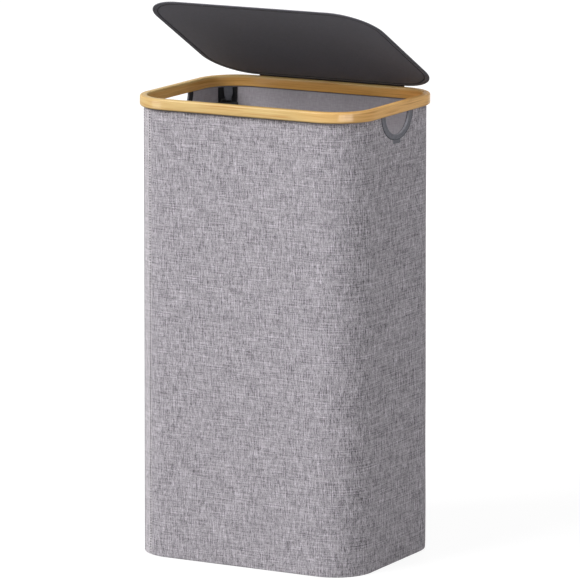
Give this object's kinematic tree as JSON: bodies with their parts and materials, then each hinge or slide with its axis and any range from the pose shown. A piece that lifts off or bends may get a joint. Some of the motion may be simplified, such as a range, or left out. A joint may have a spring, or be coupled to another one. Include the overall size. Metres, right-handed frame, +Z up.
{
  "type": "laundry hamper",
  "caption": "Tall rounded fabric laundry hamper with a bent bamboo rim, bound hand holes in its short sides and a fabric-covered lid hinged along the back.",
  "frame": {"origin": "centre of the base on the floor", "axes": "+Z up, the front long side faces -Y, the short sides with the hand holes face +X and -X, and the lid is hinged along the back at +Y"},
  "size_m": [0.402, 0.3012, 0.8664],
  "materials": {
    "bamboo": "satin lacquer",
    "outer_linen": "woven slub",
    "seam_tape": "twill tape",
    "lining": "plain woven",
    "dark_tape": "binding tape",
    "sleeve_band": "webbing",
    "strap_webbing": "webbing",
    "base_fabric": "plain woven",
    "wall_board": "plain sheet",
    "corner_sheet": "flexible sheet",
    "base_board": "fibreboard",
    "lid_board": "fibreboard",
    "steel": "drawn rod",
    "tack_steel": "blackened",
    "black_plastic": "moulded",
    "lid_fabric": "plain woven",
    "lid_tape": "binding tape",
    "hinge_flap": "plain woven"
  },
  "bodies": {
    "hamper": {"bamboo_rim": "bamboo", "outer_fabric": "outer_linen", "seam_tape": "seam_tape", "lining": "lining", "hem_tape": "dark_tape", "hand_hole_tape_left": "dark_tape", "hand_hole_tape_right": "dark_tape", "base_fabric": "base_fabric", "base_board": "base_board", "hinge_flap_root": "hinge_flap", "hinge_tacks": "tack_steel", "front_board": "wall_board", "back_board": "wall_board", "left_board": "wall_board", "right_board": "wall_board", "pole_foot_caps": "black_plastic", "corner_sheet_front_left": "corner_sheet", "pole_sleeve_front_left": "sleeve_band", "support_pole_front_left": "steel", "pole_clip_front_left": "black_plastic", "pole_strap_front_left": "strap_webbing", "corner_sheet_front_right": "corner_sheet", "pole_sleeve_front_right": "sleeve_band", "support_pole_front_right": "steel", "pole_clip_front_right": "black_plastic", "pole_strap_front_right": "strap_webbing", "corner_sheet_back_right": "corner_sheet", "pole_sleeve_back_right": "sleeve_band", "support_pole_back_right": "steel", "pole_clip_back_right": "black_plastic", "pole_strap_back_right": "strap_webbing", "corner_sheet_back_left": "corner_sheet", "pole_sleeve_back_left": "sleeve_band", "support_pole_back_left": "steel", "pole_clip_back_left": "black_plastic", "pole_strap_back_left": "strap_webbing"},
    "lid": {"lid_board": "lid_board", "lid_under_cover": "lid_fabric", "lid_top_cover": "lid_fabric", "lid_edge_tape": "lid_tape", "hinge_flap_lid": "hinge_flap"}
  },
  "joints": [
    {"name": "lid_hinge", "type": "hinge", "parent": "hamper", "child": "lid", "pos_m": [0, 0.1488, 0.7209], "axis": [-1, 0, 0], "range_deg": [-29.2, 165.8]}
  ]
}
